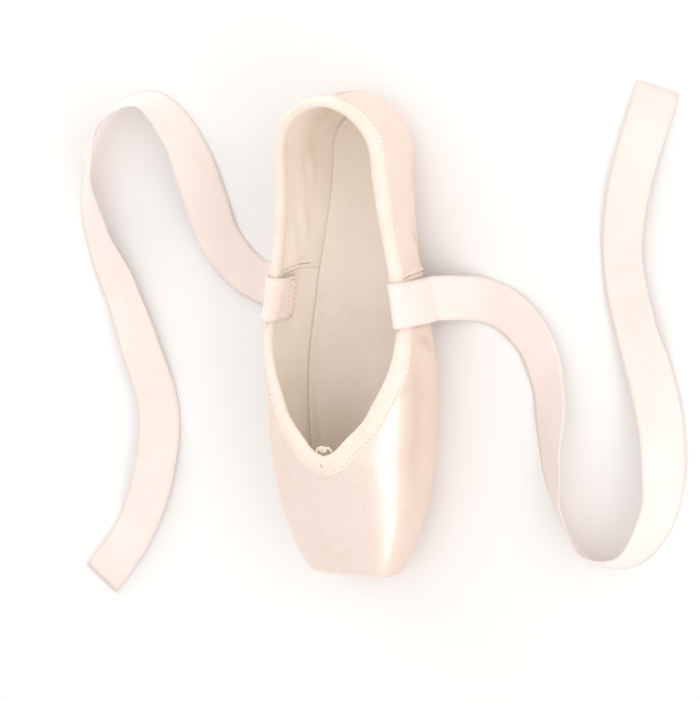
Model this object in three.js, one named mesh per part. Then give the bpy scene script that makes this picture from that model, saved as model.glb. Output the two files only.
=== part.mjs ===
// A pointe shoe, straight-lasted, empty and unbent on its sole.
// Millimetres, +Z up, the toe towards -Y, the floor at Z = 0, the shoe symmetric about X = 0.
import * as THREE from 'three';

// Driving dimensions
const shoeLength = 238;
const throatPoint = 61.5;     // from the platform to the point of the throat
const heelAxis = 208;         // from the platform to the upright axis that the heel sections turn about
const heelTurn = 47;          // length given to the quarter turn of the heel sections
const lastEnd = heelAxis + heelTurn;
const platformRound = 3;      // edge radius of the platform
const platformDome = 0.7;
const toeFace = (platformDome - shoeLength) / 2; // Y of the platform, before its dome
const gap = 0.3;              // air between pieces that touch
const soleThickness = 3;
const soleStart = 25;         // from the platform to the toe end of the outsole
const soleEnd = 224;
const soleBevel = 1.1;
const insoleStart = 12;
const insoleGap = 0.8;        // under the insole, whose facets differ from the wall's
const insoleThickness = 2;
const insoleInset = 9;        // from the outer width to the edge of the insole
const bindingWidth = 8.5;
const bindingThickness = 0.8;
const foldGap = 0.55;         // between the wall's facets and the binding's two legs
const ribbonWidth = 22;
const ribbonThickness = 0.6;
const ribbonSteps = 4;          // between two points of its route
const ribbonClear = 5;        // from the topline up to the ribbon's middle where it passes over
const ribbonAt = 137;         // from the platform to the middle of the sewn end of a ribbon

// The last, a row for each section. at: distance from the platform, and past the heel axis
// around the heel. half: half width. under, widest, crown: heights. edge, arch: how square the
// section is below and above its widest height. wall: thickness of the upper.
const lastRows = [
  { at: 0, half: 23, under: 7.5, widest: 20, crown: 34.5, edge: 2.6, arch: 2.7, wall: 2.6 },
  { at: 9, half: 28, under: 5.9, widest: 21.5, crown: 39, edge: 2.8, arch: 2.6, wall: 2.6 },
  { at: 20, half: 32.6, under: 4.7, widest: 22.5, crown: 43.8, edge: 3, arch: 2.5, wall: 2.5 },
  { at: 32, half: 36.3, under: 4, widest: 23.3, crown: 48.6, edge: 3.2, arch: 2.4, wall: 2.4 },
  { at: 45, half: 39.1, under: 3.5, widest: 24, crown: 53.2, edge: 3.4, arch: 2.3, wall: 2.3 },
  { at: 61.5, half: 40.8, under: 3.3, widest: 24.5, crown: 57, edge: 3.5, arch: 2.3, wall: 2.2 },
  { at: 80, half: 42, under: 3.3, widest: 24.5, crown: 57.5, edge: 3.5, arch: 2.3, wall: 2 },
  { at: 95, half: 42.2, under: 3.3, widest: 24.5, crown: 58.5, edge: 3.5, arch: 2.3, wall: 1.8 },
  { at: 110, half: 41, under: 3.6, widest: 24, crown: 64, edge: 3.4, arch: 2.3, wall: 1.7 },
  { at: 127, half: 38.2, under: 4.6, widest: 23.5, crown: 80, edge: 3.3, arch: 2.3, wall: 1.6 },
  { at: 150, half: 34.4, under: 5.9, widest: 23.5, crown: 90, edge: 3.2, arch: 2.3, wall: 1.6 },
  { at: 175, half: 30.6, under: 5, widest: 24, crown: 90, edge: 3.1, arch: 2.3, wall: 1.6 },
  { at: 192, half: 29, under: 3.6, widest: 24, crown: 90, edge: 3, arch: 2.3, wall: 1.7 },
  { at: 208, half: 28.5, under: 3.3, widest: 24, crown: 90, edge: 3, arch: 2.3, wall: 1.8 },
  { at: 231.5, half: 29.2, under: 3.3, widest: 24, crown: 91.8, edge: 3, arch: 2.3, wall: 1.8 },
  { at: 255, half: 30, under: 3.3, widest: 24, crown: 92, edge: 3, arch: 2.3, wall: 1.8 },
];

// The topline of throat and collar. rim: angle of the edge in its section, 90 at the middle.
const toplineRows = [
  { at: 61.5, rim: 90 },
  { at: 64, rim: 81.7 },
  { at: 70, rim: 73.5 },
  { at: 80, rim: 60.7 },
  { at: 90, rim: 53 },
  { at: 107, rim: 38.3 },
  { at: 127, rim: 22 },
  { at: 150, rim: 20 },
  { at: 208, rim: 26 },
  { at: 228, rim: 28.6 },
  { at: 243, rim: 30 },
  { at: 255, rim: 30.2 },
];

// The opening underneath, which outsole and insole close. hole: its half width.
const holeStart = 36;
const holeRows = [
  { at: 36, hole: 0 },
  { at: 40, hole: 9 },
  { at: 50, hole: 15 },
  { at: 65, hole: 19 },
  { at: 85, hole: 20.5 },
  { at: 110, hole: 14 },
  { at: 135, hole: 7 },
  { at: 160, hole: 6.5 },
  { at: 185, hole: 8.5 },
  { at: 208, hole: 9 },
  { at: 255, hole: 8 },
];

// The outline of the outsole before its two ends are rounded. at: from the platform.
const outsoleRows = [
  { at: 25, half: 24 },
  { at: 45, half: 27.5 },
  { at: 65, half: 29 },
  { at: 85, half: 29 },
  { at: 105, half: 24.5 },
  { at: 125, half: 18 },
  { at: 145, half: 14.8 },
  { at: 165, half: 14.6 },
  { at: 185, half: 16 },
  { at: 205, half: 17 },
  { at: 224, half: 16.5 },
];
const soleToeRound = 38;
const soleHeelRound = 13;

// The ribbons' routes along the floor, a row for each bend. roll: 0 lies flat, 90 stands on one
// edge. lift: height of the lower edge.
const rightRows = [
  { x: 49, y: 19, roll: 0, lift: 5 },
  { x: 60, y: 18, roll: 0, lift: 0.6 },
  { x: 76, y: 11, roll: 4, lift: 0.6 },
  { x: 90, y: -5, roll: 12, lift: 0.6 },
  { x: 97, y: -29, roll: 24, lift: 0.6 },
  { x: 99, y: -58, roll: 42, lift: 0.6 },
  { x: 105, y: -84, roll: 60, lift: 0.6 },
  { x: 120, y: -104, roll: 72, lift: 0.6 },
  { x: 141, y: -103, roll: 72, lift: 0.6 },
  { x: 156, y: -80, roll: 58, lift: 0.6 },
  { x: 157, y: -47, roll: 36, lift: 0.6 },
  { x: 150, y: -18, roll: 14, lift: 1.5 },
  { x: 140, y: 11, roll: -2, lift: 3 },
  { x: 133, y: 42, roll: -8, lift: 0.6 },
  { x: 136, y: 74, roll: -4, lift: 2 },
  { x: 150, y: 124, roll: 0, lift: 0.6 },
];
const leftRows = [
  { x: -49, y: 19, roll: 0, lift: 5 },
  { x: -60, y: 20, roll: 0, lift: 0.6 },
  { x: -74, y: 27, roll: 4, lift: 0.6 },
  { x: -87, y: 43, roll: 14, lift: 0.6 },
  { x: -95, y: 68, roll: 34, lift: 0.6 },
  { x: -105, y: 94, roll: 58, lift: 0.6 },
  { x: -124, y: 112, roll: 72, lift: 0.6 },
  { x: -148, y: 103, roll: 70, lift: 0.6 },
  { x: -160, y: 76, roll: 52, lift: 0.6 },
  { x: -158, y: 44, roll: 28, lift: 0.6 },
  { x: -145, y: 13, roll: 8, lift: 1.5 },
  { x: -133, y: -16, roll: -4, lift: 3 },
  { x: -123, y: -48, roll: -10, lift: 0.6 },
  { x: -126, y: -81, roll: -6, lift: 2.5 },
  { x: -139, y: -112, roll: 2, lift: 1 },
  { x: -159, y: -139, roll: 0, lift: 0.6 },
];

const materials = {
  upper: { color: '#f3e2d3', roughness: 0.45 },
  outsole: { color: '#e0ccb8', roughness: 0.85 },
  insole: { color: '#efe6da', roughness: 0.9 },
  binding: { color: '#f8ece1', roughness: 0.7 },
  drawstring_knot: { color: '#fbf3ea', roughness: 0.8 },
  ribbon: { color: '#f8ece6', roughness: 0.4 },
};

const radians = THREE.MathUtils.degToRad;

// A column of a table at any place between its rows, on a smooth curve with no overshoot.
function smooth(rows, key, at) {
  const last = rows.length - 1;
  const place = THREE.MathUtils.clamp(at, rows[0].at, rows[last].at);
  const i = Math.min(last - 1, rows.findLastIndex((row) => row.at <= place));
  const slope = (k) => {
    const [before, row, after] = [rows[Math.max(0, k - 1)], rows[k], rows[Math.min(last, k + 1)]];
    const turns = k > 0 && k < last && (row[key] - before[key]) * (after[key] - row[key]) <= 0;
    return turns ? 0 : (after[key] - before[key]) / (after.at - before.at);
  };
  const span = rows[i + 1].at - rows[i].at;
  const t = (place - rows[i].at) / span;
  const rise = t * t * (3 - 2 * t);
  const bend = slope(i) * t * (1 - t) ** 2 - slope(i + 1) * t * t * (1 - t);
  return rows[i][key] * (1 - rise) + rows[i + 1][key] * rise + span * bend;
}

// The section at a place: its sizes, shrunk near the platform by the round of its edge.
function section(at) {
  const inEdge = Math.max(0, platformRound - at);
  const shrink = platformRound - Math.sqrt(platformRound ** 2 - inEdge ** 2);
  const value = (key) => smooth(lastRows, key, at);
  const widest = value('widest');
  return {
    half: value('half') - shrink,
    widest,
    below: widest - value('under') - shrink,
    above: value('crown') - widest - shrink,
    edge: value('edge'),
    arch: value('arch'),
  };
}

// A point of the last's surface. angle: -90 under the middle, 0 at the widest, 90 over the middle.
function surface(at, angle) {
  const size = section(at);
  const power = angle < 0 ? size.edge : size.arch;
  const c = Math.cos(radians(angle));
  const s = Math.sin(radians(angle));
  const reach = (Math.abs(c) ** power + Math.abs(s) ** power) ** (-1 / power);
  const out = size.half * reach * c;
  const z = size.widest + (angle < 0 ? size.below : size.above) * reach * s;
  const turn = radians(90 * Math.max(0, at - heelAxis) / heelTurn);
  const y = Math.min(at, heelAxis) + toeFace;
  return new THREE.Vector3(out * Math.cos(turn), y + out * Math.sin(turn), z);
}

// The same point moved out along the surface's normal.
function skin(at, angle, distance) {
  const step = 0.02;
  const near = THREE.MathUtils.clamp(angle, -90 + step, 90 - step);
  const along = surface(Math.min(at + step, lastEnd), near).sub(surface(Math.max(at - step, 0), near));
  const around = surface(at, near + step).sub(surface(at, near - step));
  const normal = along.cross(around).normalize();
  if (at <= 0) normal.set(0, -1, 0);
  if (at > heelAxis && angle <= -90) normal.set(0, 0, -1);
  if (Math.abs(angle) >= 90 || at >= lastEnd) normal.setX(0).normalize();
  return surface(at, angle).addScaledVector(normal, distance);
}

// The section's angle at a distance out from the middle of the underside.
function angleUnder(at, out) {
  const size = section(at);
  const across = Math.min(1, out / size.half);
  const down = (1 - across ** size.edge) ** (1 / size.edge);
  return -THREE.MathUtils.radToDeg(Math.atan2(down, across));
}

const rimAngle = (at) => (at <= throatPoint ? 90 : smooth(toplineRows, 'rim', at));
const holeAngle = (at) => (at <= holeStart ? -90 : angleUnder(at, smooth(holeRows, 'hole', at)));

// Angles from one to another that divide the section's curve evenly.
function evenAngles(at, from, to, count) {
  const fine = 90;
  const angles = Array.from({ length: fine + 1 }, (_, i) => THREE.MathUtils.lerp(from, to, i / fine));
  const lengths = [0];
  angles.slice(1).forEach((angle, i) => {
    lengths.push(lengths[i] + surface(at, angle).distanceTo(surface(at, angles[i])));
  });
  return Array.from({ length: count + 1 }, (_, k) => {
    const want = lengths[fine] * k / count;
    const i = Math.max(0, lengths.slice(0, fine).findLastIndex((length) => length <= want));
    const part = (want - lengths[i]) / (lengths[i + 1] - lengths[i]);
    return THREE.MathUtils.lerp(angles[i], angles[i + 1], Math.min(1, part));
  });
}

function toMesh(name, look, points, triangles) {
  const geometry = new THREE.BufferGeometry();
  geometry.setAttribute('position', new THREE.Float32BufferAttribute(points.flatMap((p) => p.toArray()), 3));
  geometry.setIndex(triangles.flat());
  geometry.computeVertexNormals();
  const mesh = new THREE.Mesh(geometry, new THREE.MeshStandardMaterial({ metalness: 0, ...look }));
  mesh.name = name;
  return mesh;
}

// A closed solid from the right half of a sheet and its mirror image. rows: lists of cells,
// each with an outer and an inner point. Cells that share an outer point are one.
function sheetSolid(name, look, rows) {
  const outer = [];
  const inner = [];
  const known = new Map();
  const index = (cell, side) => {
    const [a, b] = [cell.outer, cell.inner].map((p) => new THREE.Vector3(p.x * side, p.y, p.z));
    const key = a.toArray().map((v) => Math.round(v * 1000) + 0).join();
    if (!known.has(key)) {
      known.set(key, outer.length);
      outer.push(a);
      inner.push(b);
    }
    return known.get(key);
  };
  const faces = [];
  const addFace = (a, b, c) => {
    if (a !== b && b !== c && c !== a) faces.push([a, b, c]);
  };
  for (let i = 0; i + 1 < rows.length; i++) {
    for (let j = 0; j + 1 < rows[i].length; j++) {
      const quad = [rows[i][j], rows[i + 1][j], rows[i + 1][j + 1], rows[i][j + 1]];
      const [a, b, c, d] = quad.map((cell) => index(cell, 1));
      addFace(a, b, c);
      addFace(a, c, d);
      const [e, f, g, h] = quad.map((cell) => index(cell, -1));
      addFace(g, f, e);
      addFace(h, g, e);
    }
  }
  const edges = new Set(faces.flatMap(([a, b, c]) => [`${a},${b}`, `${b},${c}`, `${c},${a}`]));
  const offset = outer.length;
  const triangles = [...faces, ...faces.map(([a, b, c]) => [c + offset, b + offset, a + offset])];
  edges.forEach((edge) => {
    const [a, b] = edge.split(',').map(Number);
    if (!edges.has(`${b},${a}`)) triangles.push([b, a, a + offset], [b, a + offset, b + offset]);
  });
  return toMesh(name, look, [...outer, ...inner], triangles);
}

const stations = [
  0, 0.4, 1.3, 3, 8, 14, 20, 28, 36, 40, 47, 54, 61.5, 62.4, 64, 67, 71, 77, 84, 91, 99,
  107, 117, 128, 140, 152, 165, 178, 192, 208, 216, 224, 232, 239.5, 247, 255,
];
const upperColumns = 18;

// The upper: one wall, closed over the box, open at throat and collar and under the foot.
function makeUpper() {
  const cell = (at, angle, spread) => {
    const wall = smooth(lastRows, 'wall', at);
    const points = [skin(at, angle, 0), skin(at, angle, -wall)];
    if (at === 0) {
      const size = section(0);
      const power = angle < 0 ? size.edge : size.arch;
      const rise = (points[0].z - size.widest) / (angle < 0 ? size.below : size.above);
      const across = points[0].x * spread / size.half;
      const dome = platformDome * Math.max(0, 1 - Math.abs(across) ** power - Math.abs(rise) ** power);
      points.forEach((point) => point.set(point.x * spread, point.y - dome, point.z));
    }
    return { outer: points[0], inner: points[1] };
  };
  const row = (at, spread) => {
    const angles = evenAngles(at, holeAngle(at), rimAngle(at), upperColumns);
    return angles.map((angle) => cell(at, angle, spread));
  };
  const platform = [0, 0.3, 0.6, 0.85].map((spread) => row(0, spread));
  return sheetSolid('upper', materials.upper, [...platform, ...stations.map((at) => row(at, 1))]);
}

// The insole: a thin sock on the inside of the wall's underside, from the box to the heel.
function makeInsole() {
  const rows = stations.filter((at) => at > insoleStart).map((at) => {
    const top = angleUnder(at, section(at).half - insoleInset);
    const base = smooth(lastRows, 'wall', at) + insoleGap;
    return evenAngles(at, -90, top, 6).map((angle) => ({
      outer: skin(at, angle, -base),
      inner: skin(at, angle, -base - insoleThickness),
    }));
  });
  return sheetSolid('insole', materials.insole, rows);
}

// Height of the upper's underside over a point of the floor.
function undersideHeight(x, along) {
  const back = Math.max(0, along - heelAxis);
  const out = Math.hypot(x, back);
  const at = back > 0 ? heelAxis + heelTurn * Math.atan2(back, Math.abs(x)) / (Math.PI / 2) : along;
  return surface(at, angleUnder(at, out)).z;
}

function outsoleHalf(along) {
  const fromToe = Math.min(1, (along - soleStart) / soleToeRound);
  const fromHeel = Math.min(1, (soleEnd - along) / soleHeelRound);
  const toe = (1 - (1 - fromToe) ** 2.2) ** (1 / 2.2);
  const heel = (1 - (1 - fromHeel) ** 2.4) ** (1 / 2.4);
  return smooth(outsoleRows, 'half', along) * toe * heel;
}

// The outsole: moulded to the underside above, flat below with a bevelled edge.
function makeOutsole() {
  const places = [
    25.3, 27, 30, 35, 42, 50, 60, 70, 80, 92, 103, 115, 128, 140, 152, 165, 178, 190, 202, 212, 218, 222, 223.8,
  ];
  const across = [0, 0.34, 0.68, 0.86, 1];
  const rows = places.map((along) => across.map((share) => {
    const half = outsoleHalf(along);
    const x = half * share;
    const y = along + toeFace;
    const base = smooth(lastRows, 'under', along) - gap - soleThickness;
    const fromEdge = Math.min(half - x, along - soleStart, soleEnd - along);
    const bevel = soleBevel * Math.max(0, 1 - fromEdge / 5);
    const top = undersideHeight(x, along) - gap;
    return { outer: new THREE.Vector3(x, y, base + bevel), inner: new THREE.Vector3(x, y, top) };
  }));
  return sheetSolid('outsole', materials.outsole, rows);
}

// The place on the last that a point near it lies over.
function settle(point) {
  const along = point.y - toeFace;
  const back = Math.max(0, along - heelAxis);
  const out = Math.hypot(point.x, back);
  const at = back > 0 ? heelAxis + heelTurn * Math.atan2(back, Math.abs(point.x)) / (Math.PI / 2) : along;
  const size = section(at);
  const height = point.z - size.widest;
  const angle = Math.atan2(height / (height < 0 ? size.below : size.above), out / size.half);
  return { at, angle: THREE.MathUtils.radToDeg(angle) };
}

// The binding: a folded strip over the topline, its outer leg on the satin, its inner leg inside.
function makeBinding() {
  const places = stations.filter((at) => at >= throatPoint);
  const far = foldGap + bindingThickness;
  const innerWidth = bindingWidth - 1;
  const fold = (wall) => [
    { down: -gap, out: foldGap },
    { down: -gap, out: -wall - foldGap },
    { down: innerWidth / 2, out: -wall - foldGap },
    { down: innerWidth, out: -wall - foldGap },
    { down: innerWidth, out: -wall - far },
    { down: innerWidth / 2, out: -wall - far },
    { down: 0, out: -wall - far },
    { down: -gap - bindingThickness, out: -wall },
    { down: -gap - bindingThickness, out: 0 },
    { down: 0, out: far },
    { down: bindingWidth / 2, out: far },
    { down: bindingWidth, out: far },
    { down: bindingWidth, out: foldGap },
    { down: bindingWidth / 2, out: foldGap },
  ];
  const rim = (at) => skin(at, rimAngle(at), 0);
  const ring = places.map((at) => {
    const step = 0.2;
    const tangent = rim(Math.min(at + step, lastEnd)).sub(rim(Math.max(at - step, throatPoint)));
    const normal = skin(at, rimAngle(at), 1).sub(rim(at));
    if (at === throatPoint) tangent.set(1, 0, 0);
    if (at === lastEnd) tangent.set(-1, 0, 0);
    const downward = tangent.cross(normal).normalize();
    return fold(smooth(lastRows, 'wall', at)).map(({ down, out }) => {
      const place = settle(rim(at).addScaledVector(downward, down));
      return skin(place.at, place.angle, out);
    });
  });
  const mirrored = ring.slice(1, -1).reverse().map((loop) => loop.map((p) => new THREE.Vector3(-p.x, p.y, p.z)));
  return ringSolid('binding', materials.binding, [...ring, ...mirrored], true);
}

// A solid from loops of points, one after another, its ends closed or joined to each other.
function ringSolid(name, look, loops, joined) {
  const count = loops[0].length;
  const triangles = [];
  const spans = joined ? loops.length : loops.length - 1;
  for (let i = 0; i < spans; i++) {
    for (let j = 0; j < count; j++) {
      const [a, b] = [i * count + j, i * count + (j + 1) % count];
      const [c, d] = [a, b].map((k) => (k + count) % (loops.length * count));
      if (j < count / 2) triangles.push([a, b, d], [a, d, c]);
      else triangles.push([a, b, c], [b, d, c]);
    }
  }
  if (!joined) {
    const end = (loops.length - 1) * count;
    for (let j = 1; j + 1 < count; j++) {
      triangles.push([0, j + 1, j], [end, end + j, end + j + 1]);
    }
  }
  return toMesh(name, look, loops.flat(), triangles);
}

// The knot of the drawstring, in the point of the throat.
function makeKnot() {
  const geometry = new THREE.SphereGeometry(1, 14, 8);
  geometry.scale(3.9, 2.1, 2.3);
  geometry.translate(0, throatPoint + 4.6 + toeFace, 56.4);
  const mesh = new THREE.Mesh(geometry, new THREE.MeshStandardMaterial(materials.drawstring_knot));
  mesh.name = 'drawstring_knot';
  return mesh;
}

// A ribbon's middle line: up inside the quarter, over the collar, down to the floor and along it.
function ribbonRoute(side, floorRows) {
  const rim = rimAngle(ribbonAt);
  const outside = 2 * foldGap + bindingThickness + ribbonThickness + gap;
  const inside = -outside - smooth(lastRows, 'wall', ribbonAt);
  const onWall = [
    skin(ribbonAt, 1, inside),
    skin(ribbonAt, 10, inside),
    skin(ribbonAt, rim, inside),
    skin(ribbonAt, rim, (inside + outside) / 2).add(new THREE.Vector3(0, 0, ribbonClear)),
    skin(ribbonAt, rim, outside),
    skin(ribbonAt, 9, outside),
    skin(ribbonAt, -8, outside),
    skin(ribbonAt, -26, outside + 1.5),
  ];
  onWall.forEach((point) => point.setX(side * point.x));
  const onFloor = floorRows.map((row) => {
    const halfRise = ribbonWidth / 2 * Math.abs(Math.sin(radians(row.roll)));
    return new THREE.Vector3(row.x, row.y, row.lift + halfRise + ribbonThickness / 2);
  });
  const rolls = [...onWall.map(() => 0), ...floorRows.map((row) => row.roll)];
  return { curve: new THREE.CatmullRomCurve3([...onWall, ...onFloor]), rolls };
}

// A ribbon: a flat strip along its route. side: 1 for the right ribbon, -1 for the left.
function makeRibbon(name, side, floorRows) {
  const { curve, rolls } = ribbonRoute(side, floorRows);
  const outward = skin(ribbonAt, 0, 1).sub(surface(ribbonAt, 0)).setZ(0).normalize();
  outward.x *= side;
  const up = new THREE.Vector3(0, 0, 1);
  const spans = rolls.length - 1;
  const loops = [];
  for (let i = 0; i <= spans * ribbonSteps; i++) {
    const t = i / (spans * ribbonSteps);
    const middle = curve.getPoint(t);
    const forward = curve.getTangent(t);
    const level = new THREE.Vector3(forward.x, forward.y, 0);
    const heading = level.clone().addScaledVector(outward, 1 - level.length());
    const k = Math.min(spans - 1, Math.floor(i / ribbonSteps));
    const part = THREE.MathUtils.smoothstep(i / ribbonSteps - k, 0, 1);
    const roll = radians(rolls[k] + (rolls[k + 1] - rolls[k]) * part);
    const across = up.clone().cross(heading).normalize().applyAxisAngle(forward, roll);
    const face = across.clone().cross(forward).normalize();
    across.copy(forward).cross(face).normalize();
    loops.push([[-1, 1], [1, 1], [1, -1], [-1, -1]].map(([a, b]) => middle.clone()
      .addScaledVector(across, a * ribbonWidth / 2)
      .addScaledVector(face, b * ribbonThickness / 2)));
  }
  return ringSolid(name, materials.ribbon, loops, false);
}

const shoe = new THREE.Group();
shoe.add(makeUpper(), makeInsole(), makeOutsole(), makeBinding(), makeKnot());
shoe.add(makeRibbon('ribbon_right', 1, rightRows), makeRibbon('ribbon_left', -1, leftRows));

export default shoe;
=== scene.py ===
# A satin pointe shoe with its ribbons undone, standing empty on a pale floor, toe towards -Y.
import math
from functools import lru_cache
import bmesh
import bpy
from mathutils import Matrix, Vector, noise


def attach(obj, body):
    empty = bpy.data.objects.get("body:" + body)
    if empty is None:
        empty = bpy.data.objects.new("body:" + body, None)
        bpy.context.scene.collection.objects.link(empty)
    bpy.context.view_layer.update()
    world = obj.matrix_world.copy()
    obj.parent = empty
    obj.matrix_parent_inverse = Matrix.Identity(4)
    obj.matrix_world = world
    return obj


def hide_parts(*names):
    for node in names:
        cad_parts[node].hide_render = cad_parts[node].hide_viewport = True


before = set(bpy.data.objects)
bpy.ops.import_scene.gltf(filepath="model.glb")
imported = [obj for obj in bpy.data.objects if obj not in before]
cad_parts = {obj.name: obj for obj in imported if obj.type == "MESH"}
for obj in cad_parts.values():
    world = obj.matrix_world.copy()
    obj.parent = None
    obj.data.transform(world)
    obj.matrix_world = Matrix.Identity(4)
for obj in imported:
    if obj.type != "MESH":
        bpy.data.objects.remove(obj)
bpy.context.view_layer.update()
mm = 0.001


def table(columns, rows):
    return [dict(zip(columns.split(), row)) for row in rows]


# the last, in millimetres and degrees
shoe = dict(toeFace=-118.65, throat=61.5, heelAxis=208, heelTurn=47, lastEnd=255,
            platformRound=3, platformDome=0.7, holeStart=36)

# at: from the platform, and past the heel axis around the heel
lastRows = table("at half under widest crown edge arch wall", [
    (0, 23, 7.5, 20, 34.5, 2.6, 2.7, 2.6),
    (9, 28, 5.9, 21.5, 39, 2.8, 2.6, 2.6),
    (20, 32.6, 4.7, 22.5, 43.8, 3, 2.5, 2.5),
    (32, 36.3, 4, 23.3, 48.6, 3.2, 2.4, 2.4),
    (45, 39.1, 3.5, 24, 53.2, 3.4, 2.3, 2.3),
    (61.5, 40.8, 3.3, 24.5, 57, 3.5, 2.3, 2.2),
    (80, 42, 3.3, 24.5, 57.5, 3.5, 2.3, 2),
    (95, 42.2, 3.3, 24.5, 58.5, 3.5, 2.3, 1.8),
    (110, 41, 3.6, 24, 64, 3.4, 2.3, 1.7),
    (127, 38.2, 4.6, 23.5, 80, 3.3, 2.3, 1.6),
    (150, 34.4, 5.9, 23.5, 90, 3.2, 2.3, 1.6),
    (175, 30.6, 5, 24, 90, 3.1, 2.3, 1.6),
    (192, 29, 3.6, 24, 90, 3, 2.3, 1.7),
    (208, 28.5, 3.3, 24, 90, 3, 2.3, 1.8),
    (231.5, 29.2, 3.3, 24, 91.8, 3, 2.3, 1.8),
    (255, 30, 3.3, 24, 92, 3, 2.3, 1.8),
])
toplineRows = table("at rim", [
    (61.5, 90), (64, 81.7), (70, 73.5), (80, 60.7), (90, 53),
    (107, 38.3), (127, 22), (150, 20), (208, 26), (228, 28.6), (243, 30), (255, 30.2),
])
holeRows = table("at hole", [
    (36, 0), (40, 9), (50, 15), (65, 19), (85, 20.5), (110, 14),
    (135, 7), (160, 6.5), (185, 8.5), (208, 9), (255, 8),
])


def smooth(rows, key, at):
    # a column's value between its rows, on a curve that doesn't overshoot
    last = len(rows) - 1
    place = min(max(at, rows[0]["at"]), rows[last]["at"])
    i = max(k for k in range(last) if rows[k]["at"] <= place)

    def slope(k):
        before, row, after = rows[max(0, k - 1)], rows[k], rows[min(last, k + 1)]
        if 0 < k < last and (row[key] - before[key]) * (after[key] - row[key]) <= 0:
            return 0
        return (after[key] - before[key]) / (after["at"] - before["at"])

    span = rows[i + 1]["at"] - rows[i]["at"]
    t = (place - rows[i]["at"]) / span
    rise = t * t * (3 - 2 * t)
    bend = slope(i) * t * (1 - t) ** 2 - slope(i + 1) * t * t * (1 - t)
    return rows[i][key] * (1 - rise) + rows[i + 1][key] * rise + span * bend


@lru_cache(maxsize=None)
def section(at):
    inEdge = max(0, shoe["platformRound"] - at)
    shrink = shoe["platformRound"] - math.sqrt(shoe["platformRound"] ** 2 - inEdge ** 2)
    widest = smooth(lastRows, "widest", at)
    half = smooth(lastRows, "half", at) - shrink
    below = widest - smooth(lastRows, "under", at) - shrink
    above = smooth(lastRows, "crown", at) - widest - shrink
    return half, widest, below, above, smooth(lastRows, "edge", at), smooth(lastRows, "arch", at)


def surface(at, angle):
    # angle: -90 under the middle, 0 at the widest, 90 over the middle
    half, widest, below, above, edge, arch = section(at)
    power = edge if angle < 0 else arch
    c = math.cos(math.radians(angle))
    s = math.sin(math.radians(angle))
    reach = (abs(c) ** power + abs(s) ** power) ** (-1 / power)
    out = half * reach * c
    z = widest + (below if angle < 0 else above) * reach * s
    turn = math.pi / 2 * max(0, at - shoe["heelAxis"]) / shoe["heelTurn"]
    y = min(at, shoe["heelAxis"]) + shoe["toeFace"]
    return Vector((out * math.cos(turn), y + out * math.sin(turn), z))


def normalAt(at, angle):
    step = 0.02
    near = min(max(angle, -90 + step), 90 - step)
    if at <= 0:
        return Vector((0, -1, 0))
    if at > shoe["heelAxis"] and angle <= -90:
        return Vector((0, 0, -1))
    along = surface(min(at + step, shoe["lastEnd"]), near) - surface(max(at - step, 0), near)
    around = surface(at, near + step) - surface(at, near - step)
    normal = along.cross(around)
    if abs(angle) >= 90 or at >= shoe["lastEnd"]:
        normal.x = 0
    return normal.normalized()


def skin(at, angle, out):
    return surface(at, angle) + normalAt(at, angle) * out


@lru_cache(maxsize=None)
def angleUnder(at, out):
    half, widest, below, above, edge, arch = section(at)
    across = min(1, out / half)
    return -math.degrees(math.atan2((1 - across ** edge) ** (1 / edge), across))


def rimAngle(at):
    return 90 if at <= shoe["throat"] else smooth(toplineRows, "rim", at)


def holeAngle(at):
    return -90 if at <= shoe["holeStart"] else angleUnder(at, smooth(holeRows, "hole", at))


@lru_cache(maxsize=None)
def arcOf(at, start, end, steps=120):
    # the section's curve as angles and the lengths up to them
    angles = [start + (end - start) * i / steps for i in range(steps + 1)]
    points = [surface(at, a) for a in angles]
    lengths = [0]
    for a, b in zip(points, points[1:]):
        lengths.append(lengths[-1] + (b - a).length)
    return angles, lengths


def spanOf(lengths, want):
    # the two neighbours in a growing list with a length between them
    low, high = 0, len(lengths) - 1
    while high - low > 1:
        middle = (low + high) // 2
        if lengths[middle] <= want:
            low = middle
        else:
            high = middle
    return low, high


def angleAlong(at, start, end, share):
    angles, lengths = arcOf(at, start, end)
    want = lengths[-1] * share
    low, high = spanOf(lengths, want)
    part = (want - lengths[low]) / (lengths[high] - lengths[low])
    return angles[low] + (angles[high] - angles[low]) * part


def stationAt(x, along):
    # the row of the last that a place in plan belongs to, and how far out it is
    back = max(0, along - shoe["heelAxis"])
    at = along
    if back > 0:
        at = shoe["heelAxis"] + shoe["heelTurn"] * math.atan2(back, abs(x)) / (math.pi / 2)
    return at, math.hypot(x, back)


def settle(point):
    # the place on the last that a point near it lies over
    at, out = stationAt(point.x, point.y - shoe["toeFace"])
    half, widest, below, above, edge, arch = section(at)
    height = point.z - widest
    return at, math.degrees(math.atan2(height / (below if height < 0 else above), out / half))


def ease(x, start=0.0, end=1.0):
    t = min(1, max(0, (x - start) / (end - start)))
    return t * t * (3 - 2 * t)


def ripple(seed, x, y=0.0):
    return noise.noise(Vector((x, y, seed * 7.31)))


def sided(vector, side):
    # a vector of the +X half, on that half or on the other
    return Vector((vector.x * side, vector.y, vector.z))


def finishMesh(name, bm, material):
    mesh = bpy.data.meshes.new(name)
    bm.to_mesh(mesh)
    bm.free()
    piece = bpy.data.objects.new(name, mesh)
    bpy.context.collection.objects.link(piece)
    for slot in (material if isinstance(material, list) else [material]):
        mesh.materials.append(slot)
    for face in mesh.polygons:
        face.use_smooth = True
    return piece


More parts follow.
